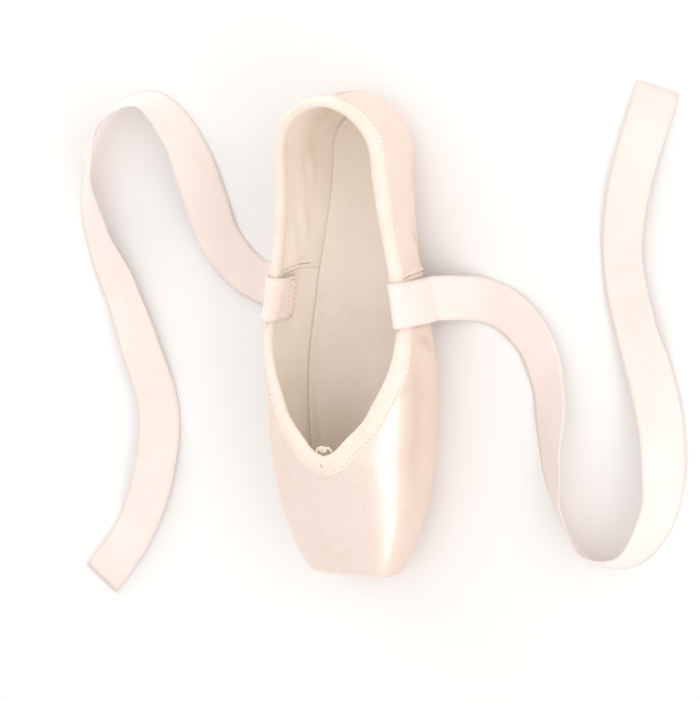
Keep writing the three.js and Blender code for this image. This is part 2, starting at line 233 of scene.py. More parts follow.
def addSheet(bm, uSteps, vSteps, place, mirrored=False):
    # a grid whose points go to place(u, v), with u and v from 0 to 1; its UVs stay u and v
    if not bm.loops.layers.uv:
        bm.loops.layers.uv.new("UVMap")
    made = bmesh.ops.create_grid(bm, x_segments=uSteps, y_segments=vSteps, size=0.5, calc_uvs=True)
    faces = {face for vert in made["verts"] for face in vert.link_faces}
    for vert in made["verts"]:
        vert.co = place(vert.co.x + 0.5, vert.co.y + 0.5)
    if mirrored:
        bmesh.ops.reverse_faces(bm, faces=list(faces))
    return list(faces)


def addShadeLayers(bm):
    # two masks for the materials: painted shade on the satin (folds, seam grooves, sides turned from the
    # light) and the sole's scored lines; and how dirty
    for layer in ("paintedShadeAndScoring", "soil"):
        bm.verts.layers.float.new(layer)
    return [bm.verts.layers.float[layer] for layer in ("paintedShadeAndScoring", "soil")]


def thicken(piece, thickness, offset=-1.0):
    solid = piece.modifiers.new("wall", "SOLIDIFY")
    solid.thickness = thickness
    solid.offset = offset
    solid.use_even_offset = True
    solid.use_quality_normals = True
    return solid


def tint(code):
    # a web colour as Blender's linear values
    values = [int(code[i:i + 2], 16) / 255 for i in (0, 2, 4)]
    return [v / 12.92 if v <= 0.04045 else ((v + 0.055) / 1.055) ** 2.4 for v in values] + [1.0]


def newFinish(name, base, **sockets):
    finish = bpy.data.materials.new(name)
    finish.use_nodes = True
    finish.diffuse_color = tint(base)
    tree = finish.node_tree
    shader = tree.nodes["Principled BSDF"]
    shader.inputs["Base Color"].default_value = tint(base)
    for key, value in sockets.items():
        label = key.replace("_", " ")
        shader.inputs[label].default_value = tint(value) if isinstance(value, str) else value
    return finish, tree, shader


def addNode(tree, kind, settings=None, **values):
    node = tree.nodes.new(kind)
    for key, value in (settings or {}).items():
        setattr(node, key, value)
    for key, value in values.items():
        node.inputs[key.replace("_", " ")].default_value = value
    return node


def link(tree, source, output, target, socket):
    tree.links.new(source.outputs[output], target.inputs[socket])


def addMix(tree, factor, first, second):
    # factor is (node, output) or a number; first and second are (node, output) or a web colour
    node = addNode(tree, "ShaderNodeMix", dict(data_type="RGBA", blend_type="MIX"))
    for index, source in ((0, factor), (6, first), (7, second)):
        if isinstance(source, tuple):
            tree.links.new(source[0].outputs[source[1]], node.inputs[index])
        elif isinstance(source, str):
            node.inputs[index].default_value = tint(source)
        else:
            node.inputs[index].default_value = source
    return node, 2


def addRamp(tree, source, output, low, high):
    node = addNode(tree, "ShaderNodeMapRange", dict(interpolation_type="SMOOTHSTEP"),
                   From_Min=low, From_Max=high)
    link(tree, source, output, node, "Value")
    return node, 0


def makeThreadGroup():
    # the fine floats of a woven cloth: a height and a slow shade, from coordinates in metres
    group = bpy.data.node_groups.new("fineThreads", "ShaderNodeTree")
    face = group.interface
    face.new_socket("Place", in_out="INPUT", socket_type="NodeSocketVector")
    for label, value in (("Along", 260.0), ("Across", 2600.0), ("Cloudiness", 28.0)):
        face.new_socket(label, in_out="INPUT", socket_type="NodeSocketFloat").default_value = value
    face.new_socket("Height", in_out="OUTPUT", socket_type="NodeSocketFloat")
    face.new_socket("Cloud", in_out="OUTPUT", socket_type="NodeSocketFloat")
    source = group.nodes.new("NodeGroupInput")
    result = group.nodes.new("NodeGroupOutput")
    scale = group.nodes.new("ShaderNodeCombineXYZ")
    group.links.new(source.outputs["Along"], scale.inputs[0])
    group.links.new(source.outputs["Across"], scale.inputs[1])
    group.links.new(source.outputs["Across"], scale.inputs[2])
    stretched = addNode(group, "ShaderNodeVectorMath", dict(operation="MULTIPLY"))
    group.links.new(source.outputs["Place"], stretched.inputs[0])
    group.links.new(scale.outputs[0], stretched.inputs[1])
    threads = addNode(group, "ShaderNodeTexNoise", Scale=1.0, Detail=2.0)
    group.links.new(stretched.outputs[0], threads.inputs["Vector"])
    cloud = addNode(group, "ShaderNodeTexNoise", Detail=3.0)
    group.links.new(source.outputs["Place"], cloud.inputs["Vector"])
    group.links.new(source.outputs["Cloudiness"], cloud.inputs["Scale"])
    group.links.new(threads.outputs[0], result.inputs["Height"])
    group.links.new(cloud.outputs[0], result.inputs["Cloud"])
    return group


fineThreads = makeThreadGroup()


def addThreads(tree, along, across, cloudiness, useUv=True):
    place = addNode(tree, "ShaderNodeTexCoord")
    threads = addNode(tree, "ShaderNodeGroup", dict(node_tree=fineThreads),
                      Along=along, Across=across, Cloudiness=cloudiness)
    link(tree, place, "UV" if useUv else "Object", threads, "Place")
    return threads, place


def addBump(tree, shader, source, output, strength, distance, below=None):
    bump = addNode(tree, "ShaderNodeBump", Strength=strength, Distance=distance)
    link(tree, source, output, bump, "Height")
    if below:
        link(tree, below, "Normal", bump, "Normal")
    link(tree, bump, "Normal", shader, "Normal")
    return bump


satinLook = dict(base="f5e4da", light="faede5", cloud="f1dace", shade="d9b79c", soiled="d9c3b0",
                 smoothest=0.36, roughest=0.46, metal=0.62, streak=0.42, gloss=0.45)


def makeSatin():
    finish, tree, shader = newFinish(
        "peachSatin", satinLook["base"], Specular_IOR_Level=0.7, IOR=1.6, Metallic=satinLook["metal"],
        Anisotropic=satinLook["streak"], Sheen_Weight=0.2, Sheen_Roughness=0.35, Sheen_Tint="ffd9ba",
        Coat_Weight=satinLook["gloss"], Coat_Roughness=0.4, Coat_IOR=1.7)
    threads, place = addThreads(tree, 240.0, 3600.0, 26.0)
    soft = addRamp(tree, threads, "Cloud", 0.35, 0.7)
    body = addMix(tree, soft, satinLook["base"], satinLook["cloud"])
    line = addRamp(tree, threads, "Height", 0.25, 0.75)
    body = addMix(tree, line, body, satinLook["light"])
    # painted shade: the shade colour darkens the satin in folds, pleat valleys, seam grooves and on the sides
    # turned from the light
    paintedShadeAndScoring = addNode(tree, "ShaderNodeAttribute", dict(attribute_name="paintedShadeAndScoring"))
    body = addMix(tree, (paintedShadeAndScoring, "Fac"), body, satinLook["shade"])
    soil = addNode(tree, "ShaderNodeAttribute", dict(attribute_name="soil"))
    grime = addNode(tree, "ShaderNodeTexNoise", Scale=170.0, Detail=4.0)
    link(tree, place, "Object", grime, "Vector")
    patch = addRamp(tree, grime, 0, 0.42, 0.72)
    amount = addNode(tree, "ShaderNodeMath", dict(operation="MULTIPLY"))
    link(tree, soil, "Fac", amount, 0)
    tree.links.new(patch[0].outputs[0], amount.inputs[1])
    body = addMix(tree, (amount, 0), body, satinLook["soiled"])
    tree.links.new(body[0].outputs[body[1]], shader.inputs["Base Color"])
    rough = addNode(tree, "ShaderNodeMapRange", To_Min=satinLook["smoothest"], To_Max=satinLook["roughest"])
    link(tree, threads, "Cloud", rough, "Value")
    link(tree, rough, 0, shader, "Roughness")
    around = addNode(tree, "ShaderNodeTangent", dict(direction_type="UV_MAP", uv_map="UVMap"))
    link(tree, around, 0, shader, "Tangent")
    addBump(tree, shader, threads, "Height", 0.18, 0.00008)
    return finish


def makeCloth(name, base, dark, roughness, along, across, cloudiness, bump=0.4, useUv=True, **sockets):
    finish, tree, shader = newFinish(name, base, Roughness=roughness, Specular_IOR_Level=0.3, **sockets)
    threads, place = addThreads(tree, along, across, cloudiness, useUv)
    lines = addRamp(tree, threads, "Height", 0.3, 0.7)
    body = addMix(tree, lines, dark, base)
    slow = addRamp(tree, threads, "Cloud", 0.3, 0.7)
    body = addMix(tree, slow, body, base)
    tree.links.new(body[0].outputs[body[1]], shader.inputs["Base Color"])
    addBump(tree, shader, threads, "Height", bump, 0.00015)
    return finish


leatherLook = dict(base="e6d3c1", dark="dcc5b0", light="ecdccb", scored="c3a386", cutEdge="cf9f72")


def makeSoleLeather():
    finish, tree, shader = newFinish("soleLeather", leatherLook["base"],
                                     Roughness=0.72, Specular_IOR_Level=0.35)
    place = addNode(tree, "ShaderNodeTexCoord")
    blotch = addNode(tree, "ShaderNodeTexNoise", Scale=70.0, Detail=5.0)
    link(tree, place, "Object", blotch, "Vector")
    body = addMix(tree, addRamp(tree, blotch, 0, 0.3, 0.75), leatherLook["dark"], leatherLook["light"])
    # the sole's scored lines and nail marks are coloured darker
    score = addNode(tree, "ShaderNodeAttribute", dict(attribute_name="paintedShadeAndScoring"))
    body = addMix(tree, (score, "Fac"), body, leatherLook["scored"])
    edge = addNode(tree, "ShaderNodeAttribute", dict(attribute_name="soil"))
    body = addMix(tree, (edge, "Fac"), body, leatherLook["cutEdge"])
    tree.links.new(body[0].outputs[body[1]], shader.inputs["Base Color"])
    grain = addNode(tree, "ShaderNodeTexVoronoi", Scale=1500.0)
    link(tree, place, "Object", grain, "Vector")
    under = addBump(tree, shader, grain, 0, 0.25, 0.0001)
    fibre = addNode(tree, "ShaderNodeTexNoise", Scale=420.0, Detail=4.0)
    link(tree, place, "Object", fibre, "Vector")
    addBump(tree, shader, fibre, 0, 0.2, 0.0003, under)
    return finish


satin = makeSatin()
lining = makeCloth("liningTwill", "f8eee3", "ecdfd0", 0.85, 1900.0, 1900.0, 30.0)
sockCloth = makeCloth("sockCotton", "faf2e8", "efe3d6", 0.9, 1500.0, 1500.0, 22.0, useUv=False)
casingTape = makeCloth("casingTape", "f5e8dd", "ecd9c9", 0.62, 700.0, 2600.0, 60.0, Sheen_Weight=0.2)
ribbonSatin = makeCloth("ribbonSatin", "f7e9e3", "f1dfd6", 0.32, 2600.0, 500.0, 40.0, bump=0.2,
                        Sheen_Weight=0.25, Anisotropic=0.5)
seamThread = makeCloth("seamThread", "fff6ee", "ecd2bd", 0.6, 3000.0, 3000.0, 90.0, useUv=False)
thread = makeCloth("sewingThread", "ecd0b9", "d6af90", 0.6, 3000.0, 3000.0, 90.0, useUv=False)
cordCotton = makeCloth("drawCord", "f7ece1", "dcc6b2", 0.75, 2400.0, 2400.0, 60.0, useUv=False)
soleLeather = makeSoleLeather()
# a dark bead of painted shade for the opening of the drawstring's slit
slitPaintedShade = makeCloth("slitPaintedShade", "c78f5d", "8a5a37", 0.85, 900.0, 900.0, 90.0, bump=0.8, useUv=False)
print("materials made")

# turn: degrees from straight above to the +X side; tip: degrees towards the heel
view = dict(turn=27.0, tip=7.0, distance=1.75, width=0.345, aim=(-0.003, -0.008, 0.022))


def makeCamera():
    turn, tip = math.radians(view["turn"]), math.radians(view["tip"])
    away = Vector((math.sin(turn) * math.cos(tip), math.sin(tip), math.cos(turn) * math.cos(tip)))
    right = Vector((math.cos(turn), 0, -math.sin(turn)))
    upward = away.cross(right)
    place = Vector(view["aim"]) + away * view["distance"]
    lens = bpy.data.cameras.new("camera")
    lens.sensor_width = 36
    lens.lens = 36 * view["distance"] / view["width"]
    lens.clip_end = 20
    camera = bpy.data.objects.new("camera", lens)
    turned = Matrix((right, upward, away)).transposed().to_4x4()
    camera.matrix_world = Matrix.Translation(place) @ turned
    bpy.context.collection.objects.link(camera)
    bpy.context.scene.camera = camera


makeCamera()
print("camera set")

# at: where on the last each ribbon is sewn; the rows below are its way over the floor
ribbon = dict(width=22, thickness=0.5, steps=8, across=10, clear=5, at=137, length=0.495,
              probe=0.01, slack=0.5, slackSize=26, selvedge=0.12, lowest=0.32)
# what a ribbon has under it where it goes over the topline
fold = dict(gap=0.55, binding=0.8, cadRibbon=0.6, clear=0.3)

rightRows = table("x y roll lift", [
    (49, 19, 0, 5), (60, 18, 0, 0.6), (76, 11, 4, 0.6), (90, -5, 12, 0.6),
    (97, -29, 24, 0.6), (99, -58, 42, 0.6), (105, -84, 60, 0.6), (120, -104, 72, 0.6),
    (141, -103, 72, 0.6), (156, -80, 58, 0.6), (157, -47, 36, 0.6), (150, -18, 14, 1.5),
    (140, 11, -2, 3), (133, 42, -8, 0.6), (136, 74, -4, 2), (150, 124, 0, 0.6),
])
leftRows = table("x y roll lift", [
    (-49, 19, 0, 5), (-60, 20, 0, 0.6), (-74, 27, 4, 0.6), (-87, 43, 14, 0.6),
    (-95, 68, 34, 0.6), (-105, 94, 58, 0.6), (-124, 112, 72, 0.6), (-148, 103, 70, 0.6),
    (-160, 76, 52, 0.6), (-158, 44, 28, 0.6), (-145, 13, 8, 1.5), (-133, -16, -4, 3),
    (-123, -48, -10, 0.6), (-126, -81, -6, 2.5), (-139, -112, 2, 1), (-159, -139, 0, 0.6),
])


def routeOf(side, rows):
    rim = rimAngle(ribbon["at"])
    outside = 2 * fold["gap"] + fold["binding"] + fold["cadRibbon"] + fold["clear"]
    inside = -outside - smooth(lastRows, "wall", ribbon["at"])
    at = ribbon["at"]
    points = [
        skin(at, 1, inside), skin(at, 10, inside), skin(at, rim, inside),
        skin(at, rim, (inside + outside) / 2) + Vector((0, 0, ribbon["clear"])),
        skin(at, rim, outside), skin(at, 9, outside), skin(at, -8, outside), skin(at, -26, outside + 1.5),
    ]
    points = [sided(point, side) for point in points]
    rolls = [0] * len(points) + [row["roll"] for row in rows]
    for row in rows:
        halfRise = ribbon["width"] / 2 * abs(math.sin(math.radians(row["roll"])))
        points.append(Vector((row["x"], row["y"], row["lift"] + halfRise + fold["cadRibbon"] / 2)))
    return points, rolls


def curvePoint(points, place):
    # a centripetal curve through the points; place counts spans from the first point
    last = len(points) - 1
    k = min(last - 1, int(place))
    t = place - k
    b, c = points[k], points[k + 1]
    a = points[k - 1] if k > 0 else b * 2 - c
    d = points[k + 2] if k + 2 <= last else c * 2 - b
    spans = [(q - p).length ** 0.5 for p, q in ((a, b), (b, c), (c, d))]
    startSlope = ((b - a) / spans[0] - (c - a) / (spans[0] + spans[1]) + (c - b) / spans[1]) * spans[1]
    endSlope = ((c - b) / spans[1] - (d - b) / (spans[1] + spans[2]) + (d - c) / spans[2]) * spans[1]
    rise = t * t * (3 - 2 * t)
    return b * (1 - rise) + c * rise + startSlope * t * (1 - t) ** 2 - endSlope * t * t * (1 - t)


def makeRibbon(name, side, rows, seed):
    points, rolls = routeOf(side, rows)
    spans = len(points) - 1
    outward = sided(normalAt(ribbon["at"], 0), side)
    outward = Vector((outward.x, outward.y, 0)).normalized()
    up = Vector((0, 0, 1))
    steps = spans * ribbon["steps"]
    frames = []
    run = 0
    for i in range(steps + 1):
        place = i / ribbon["steps"]
        middle = curvePoint(points, place)
        ahead = curvePoint(points, min(place + ribbon["probe"], spans))
        forward = (ahead - curvePoint(points, max(place - ribbon["probe"], 0))).normalized()
        level = Vector((forward.x, forward.y, 0))
        heading = level + outward * (1 - level.length)
        k = min(spans - 1, int(place))
        roll = math.radians(rolls[k] + (rolls[k + 1] - rolls[k]) * ease(place - k))
        across = Matrix.Rotation(roll, 3, forward) @ up.cross(heading).normalized()
        face = across.cross(forward).normalized()
        across = forward.cross(face).normalized()
        run += (middle - frames[-1][0]).length if frames else 0
        frames.append((middle, across, face, run))
    bm = bmesh.new()

    def place(u, v):
        middle, across, face, along = frames[round(u * steps)]
        out = (v * 2 - 1) * ribbon["width"] / 2
        onFloor = ease(u, 0.22, 0.34)
        slack = ribbon["slack"] * ripple(seed, along / ribbon["slackSize"], v * 0.8) * onFloor
        selvedge = ribbon["selvedge"] * ease(abs(v * 2 - 1), 0.86, 0.96)
        spot = middle + across * out - face * (slack + selvedge)
        spot.z = max(spot.z, ribbon["lowest"]) if onFloor else spot.z
        return spot * mm

    addSheet(bm, steps, ribbon["across"], place)
    uv = bm.loops.layers.uv.active
    for face in bm.faces:
        for loop in face.loops:
            u, v = loop[uv].uv
            loop[uv].uv = (frames[round(u * steps)][3] * mm, v * ribbon["width"] * mm)
    bmesh.ops.recalc_face_normals(bm, faces=bm.faces)
    piece = finishMesh(name, bm, ribbonSatin)
    thicken(piece, ribbon["thickness"] * mm, 0)
    node = "ribbon_right" if side > 0 else "ribbon_left"
    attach(piece, "root")
    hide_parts(node)
    print(name, "made,", round(run, 1), "mm long")


makeRibbon("ribbonRight", 1, rightRows, 3)
makeRibbon("ribbonLeft", -1, leftRows, 5)


# satin outside, twill inside
upper = dict(thickness=1.5, rowStep=1.9, columns=96, platformRings=9, platformMiddle=7, platformUneven=0.25,
             bunching=1.25, around=0.115, sideShade=0.36, soilToe=0.16, soilLow=0.22, creaseScale=2.2,
             creaseShade=0.42, slow=0.24, fine=0.10, pucker=0.14, puckerTurn=1.15, puckerReach=(8, 24))
# near and far: where the fan starts and fades; turned: how far it goes round; rise and fall: one fold's shape
pleats = dict(fanAt=47, angle=11.5, depth=0.95, groove=0.5, near=(17, 22), far=(24, 47), turned=(84, 122),
              under=(21, 9), rise=0.74, fall=0.97)
sideSeam = dict(at=146, lean=5, bow=1.6, low=6, high=50, ridge=0.22, ridgeAt=1.3, ridgeWidth=0.9,
                groove=0.5, grooveWidth=0.42)
backSeam = dict(ridge=0.28, ridgeAt=1.2, ridgeWidth=0.8, groove=0.45, grooveWidth=0.4)

# the main soft folds: where they lie, which way they run, and how deep
creases = table("at angle side length width depth heading", [
    (118, -4, 1, 26, 3.2, 0.55, 62),
    (128, 6, 1, 20, 2.4, 0.4, 75),
    (138, -16, 1, 24, 3.0, 0.5, 40),
    (120, -8, -1, 28, 3.4, 0.5, 58),
    (134, 2, -1, 22, 2.6, 0.45, 70),
    (165, -20, 1, 30, 3.6, 0.5, 20),
    (172, -14, -1, 28, 3.4, 0.5, 24),
    (196, -22, 1, 22, 3.0, 0.45, 12),
    (200, -20, -1, 24, 3.2, 0.45, 14),
    (226, -18, 1, 18, 2.6, 0.4, 80),
    (232, -12, -1, 16, 2.4, 0.35, 84),
    (96, 16, -1, 30, 3.6, 0.35, 66),
    (92, 20, 1, 26, 3.4, 0.3, 60),
    (28, 8, 1, 18, 3.0, 0.22, 20),
    (24, 4, -1, 20, 3.2, 0.25, 16),
])


def creaseSpots():
    spots = []
    for row in creases:
        middle = surface(row["at"], row["angle"])
        along = (surface(row["at"] + 0.5, row["angle"]) - surface(row["at"] - 0.5, row["angle"])).normalized()
        normal = normalAt(row["at"], row["angle"])
        around = normal.cross(along)
        heading = math.radians(row["heading"])
        run = along * math.cos(heading) + around * math.sin(heading)
        spots.append((row["side"], middle, run, normal.cross(run), row))
    return spots


foldSpots = creaseSpots()


def creaseDepth(point, side):
    # how far the soft folds press the satin in at a point
    depth = 0
    for facing, middle, run, over, row in foldSpots:
        if facing != side:
            continue
        away = point - middle
        lengthwise = away.dot(run) / row["length"] * 2
        if abs(lengthwise) > 1:
            continue
        bow = row["width"] * 0.5 * (lengthwise ** 2)
        crosswise = (away.dot(over) - bow) / row["width"]
        if abs(crosswise) > 3.5:
            continue
        trough = math.exp(-crosswise ** 2) - 0.55 * math.exp(-(crosswise - 1.5) ** 2)
        depth += upper["creaseScale"] * row["depth"] * trough * (1 - lengthwise ** 2) ** 2
    return depth


def pleatAt(point, side):
    # folds that fan out from the toe end of the outsole: height, and how much painted shade their valleys and
    # the middle groove get
    along = point.y - shoe["toeFace"]
    ahead = pleats["fanAt"] - along
    reach = math.hypot(point.x, ahead)
    underneath = ease(point.z, *pleats["under"])
    turn = math.degrees(math.atan2(point.x * side, ahead))
    fading = (1 - ease(reach, *pleats["far"])) ** 0.8
    near = ease(reach, *pleats["near"]) * fading * (1 - ease(abs(turn), *pleats["turned"]))
    if near * underneath <= 0:
        return 0, 0
    wobble = 0.16 * ripple(2.0, reach / 14, side * 3 + turn / 40)
    place = abs(turn) / pleats["angle"] + wobble + 0.5
    part = place - math.floor(place)
    depth = 0.72 + 0.5 * ripple(9.0, math.floor(place) * 3.7, side * 5.1)
    rise, fall = pleats["rise"], pleats["fall"]
    height = ease(part, 0.0, rise) if part < rise else 1 - ease(part, rise, fall)
    amount = near * underneath
    middle = math.exp(-(point.x / 0.5) ** 2) * amount
    return ((height - 0.45) * pleats["depth"] * depth * amount - pleats["groove"] * middle,
            min(1, (1 - height) * amount + middle))


def rimDistance(at, angle):
    # how far below the topline, in mm, for places behind the throat
    if at <= shoe["throat"]:
        return 99
    return (surface(at, rimAngle(at)) - surface(at, angle)).length


def sideSeamAt(point):
    # the side seam leans back a little on its way down, in a slight bow
    rise = (point.z - sideSeam["low"]) / (sideSeam["high"] - sideSeam["low"])
    return sideSeam["at"] + sideSeam["lean"] * (1 - rise) + sideSeam["bow"] * math.sin(math.pi * rise)


def seamShape(away, seam):
    # a groove between two turned edges: height, and how much painted shade it gets
    ridge = seam["ridge"] * math.exp(-((away - seam["ridgeAt"]) / seam["ridgeWidth"]) ** 2)
    groove = seam["groove"] * math.exp(-(away / seam["grooveWidth"]) ** 2)
    return ridge - groove, 0.8 * math.exp(-(away / 0.4) ** 2)


def reliefAt(at, angle, point, side):
    height, paintedShadeAmount = pleatAt(point, side)
    shown = sided(point, side)
    crease = creaseDepth(point, side)
    height -= crease
    # the creases add painted shade to the satin's colour in their troughs
    paintedShadeAmount = max(paintedShadeAmount, min(0.6, upper["creaseShade"] * crease))
    height += upper["fine"] * noise.noise(shown / 9)
    height += upper["slow"] * noise.noise(shown / 21 + Vector((4, 1, 7)))
    drop = rimDistance(at, angle)
    if drop < 26:
        wave = math.sin(at * upper["puckerTurn"] + 2.2 * ripple(4.0, at / 17, side))
        pucker = wave * (1 - ease(drop, *upper["puckerReach"]))
        height += upper["pucker"] * pucker * (0.6 + 0.8 * abs(ripple(6.0, at / 9, side)))
    # the seam grooves add painted shade to the satin's colour
    for away, seam in ((abs(at - sideSeamAt(point)), sideSeam), (shoe["lastEnd"] - at, backSeam)):
        if away < 4:
            rise, dark = seamShape(away, seam)
            height += rise
            paintedShadeAmount = max(paintedShadeAmount, dark)
    fade = 1 - 0.75 * ease(drop, 9, 1) if drop < 10 else 1
    return height * fade, paintedShadeAmount


# stretches of the last with closer rows, for pleats and seams
closeRows = table("start end step", [
    (0, 3.2, 0.4), (3.2, 46, 0.8), (46, 60, 1.3), (60, 70, 0.8), (142, 154, 0.45), (249, 256, 0.42),
])


def stationsOf():
    rows = [0]
    while rows[-1] < shoe["lastEnd"]:
        at = rows[-1]
        steps = [row["step"] for row in closeRows if row["start"] <= at < row["end"]]
        rows.append(min(shoe["lastEnd"], at + (steps[0] if steps else upper["rowStep"])))
    return rows


def makeUpper():
    rows = stationsOf()
    cap = upper["platformRings"]
    steps = cap + len(rows) - 1
    bm = bmesh.new()
    found = {}

    def half(side):
        def place(u, v):
            i = round(u * steps)
            spread = min(1, i / cap)
            at = rows[max(0, i - cap)]
            share = v ** upper["bunching"]  # closer underneath, where the pleats are
            angle = angleAlong(at, holeAngle(at), rimAngle(at), share)
            point = surface(at, angle)
            height, paintedShadeAmount = reliefAt(at, angle, point, side)
            spot = point + normalAt(at, angle) * height
            if spread < 1 or at == 0:
                halfWidth, widest, below, above, edge, arch = section(0)
                power = edge if angle < 0 else arch
                rise = (point.z - widest) / (below if angle < 0 else above)
                across = point.x * spread / halfWidth
                dome = shoe["platformDome"] * max(0, 1 - abs(across) ** power - abs(rise * spread) ** power)
                middle = Vector((0, point.y, widest + upper["platformMiddle"]))
                spot = middle.lerp(point, spread)
                uneven = upper["platformUneven"] * noise.noise(Vector((spot.x * side, spot.z, 3)) / 7)
                spot.y += uneven - dome
                paintedShadeAmount = 0
            spot = sided(spot, side)
            if abs(spot.x) < 0.004:
                spot.x = 0
            found[tuple(spot * mm)] = (at, angle, paintedShadeAmount, spot.copy())
            return spot * mm

        faces = addSheet(bm, steps, upper["columns"], place, mirrored=side < 0)
        uv = bm.loops.layers.uv.active
        for face in faces:
            for loop in face.loops:
                u, v = loop[uv].uv
                at = rows[max(0, round(u * steps) - cap)]
                loop[uv].uv = (at * mm, v * upper["around"])

    half(1)
    half(-1)
    paintedShadeAndScoring, soil = addShadeLayers(bm)
    for vert in bm.verts:
        known = found.get(tuple(vert.co))
        if known:
            at, angle, paintedShadeAmount, spot = known
            # painted shade: the satin darkens on the sides as they turn from the light, less on the quarters,
            # and joins the painted shade of folds and seams
            turned = upper["sideShade"] * ease(angle, 70, 20) * (1 - 0.55 * ease(at, 90, 140))
            vert[paintedShadeAndScoring] = max(paintedShadeAmount, turned)
            vert[soil] = upper["soilToe"] * (1 - ease(at, 0, 7)) + upper["soilLow"] * ease(spot.z, 14, 4)
    bmesh.ops.remove_doubles(bm, verts=bm.verts, dist=0.00004)
    bmesh.ops.recalc_face_normals(bm, faces=bm.faces)
    piece = finishMesh("upperSatin", bm, [satin, lining])
    wall = thicken(piece, upper["thickness"] * mm)
    wall.material_offset = 1
    wall.material_offset_rim = 1
    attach(piece, "root")
    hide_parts("upper")


makeUpper()
print("upper made")

# a bevelled rim, a scored forefoot and nail marks
sole = dict(start=25, end=224, thickness=3, bevel=1.1, toeRound=38, heelRound=13, gap=0.3,
            toePower=2.2, heelPower=2.4, endGap=0.12, crowding=0.0495, scorePitch=3.7, scoreDepth=0.28,
            scoreEnd=108, border=3.4, rows=330, columns=116, ragged=0.28, nailDepth=0.45, uneven=0.07,
            worn=0.14, rings=((1, 0), (0.72, 0.15), (0.4, 0.15)))  # rings: share of the outline, and drop

outsoleRows = table("at half", [
    (25, 24), (45, 27.5), (65, 29), (85, 29), (105, 24.5), (125, 18),
    (145, 14.8), (165, 14.6), (185, 16), (205, 17), (224, 16.5),
])
nails = table("x at", [(0, 198), (-7.5, 209), (7.5, 209), (0, 118), (0, 168)])


def undersideHeight(x, along):
    at, out = stationAt(x, along)
    return surface(at, angleUnder(at, out)).z


def outsoleHalf(along):
    fromToe = min(1, max(0, (along - sole["start"]) / sole["toeRound"]))
    fromHeel = min(1, max(0, (sole["end"] - along) / sole["heelRound"]))
    toe = (1 - (1 - fromToe) ** sole["toePower"]) ** (1 / sole["toePower"])
    heel = (1 - (1 - fromHeel) ** sole["heelPower"]) ** (1 / sole["heelPower"])
    return smooth(outsoleRows, "half", along) * toe * heel


def scoreAt(x, along, fromEdge):
    # crossed grooves on the forefoot, closed by a zigzag line at the waist
    pitch = sole["scorePitch"]
    zigzag = sole["scoreEnd"] + 3 * abs(((x / pitch + 0.5) % 1) * 2 - 1) - 1.5
    line = max(0, 1 - abs(along - zigzag) / 0.5)
    rimLine = 0.8 * max(0, 1 - abs(fromEdge - sole["border"]) / 0.45) if along < zigzag else 0
    if along > zigzag or fromEdge < sole["border"]:
        return max(line if fromEdge > sole["border"] else 0, rimLine)
    one = abs(((x + along) / pitch % 1) - 0.5) * 2
    two = abs(((x - along) / pitch % 1) - 0.5) * 2
    groove = max(0, (max(one, two) - 0.76) / 0.24)
    return max(line, rimLine, groove ** 0.7)


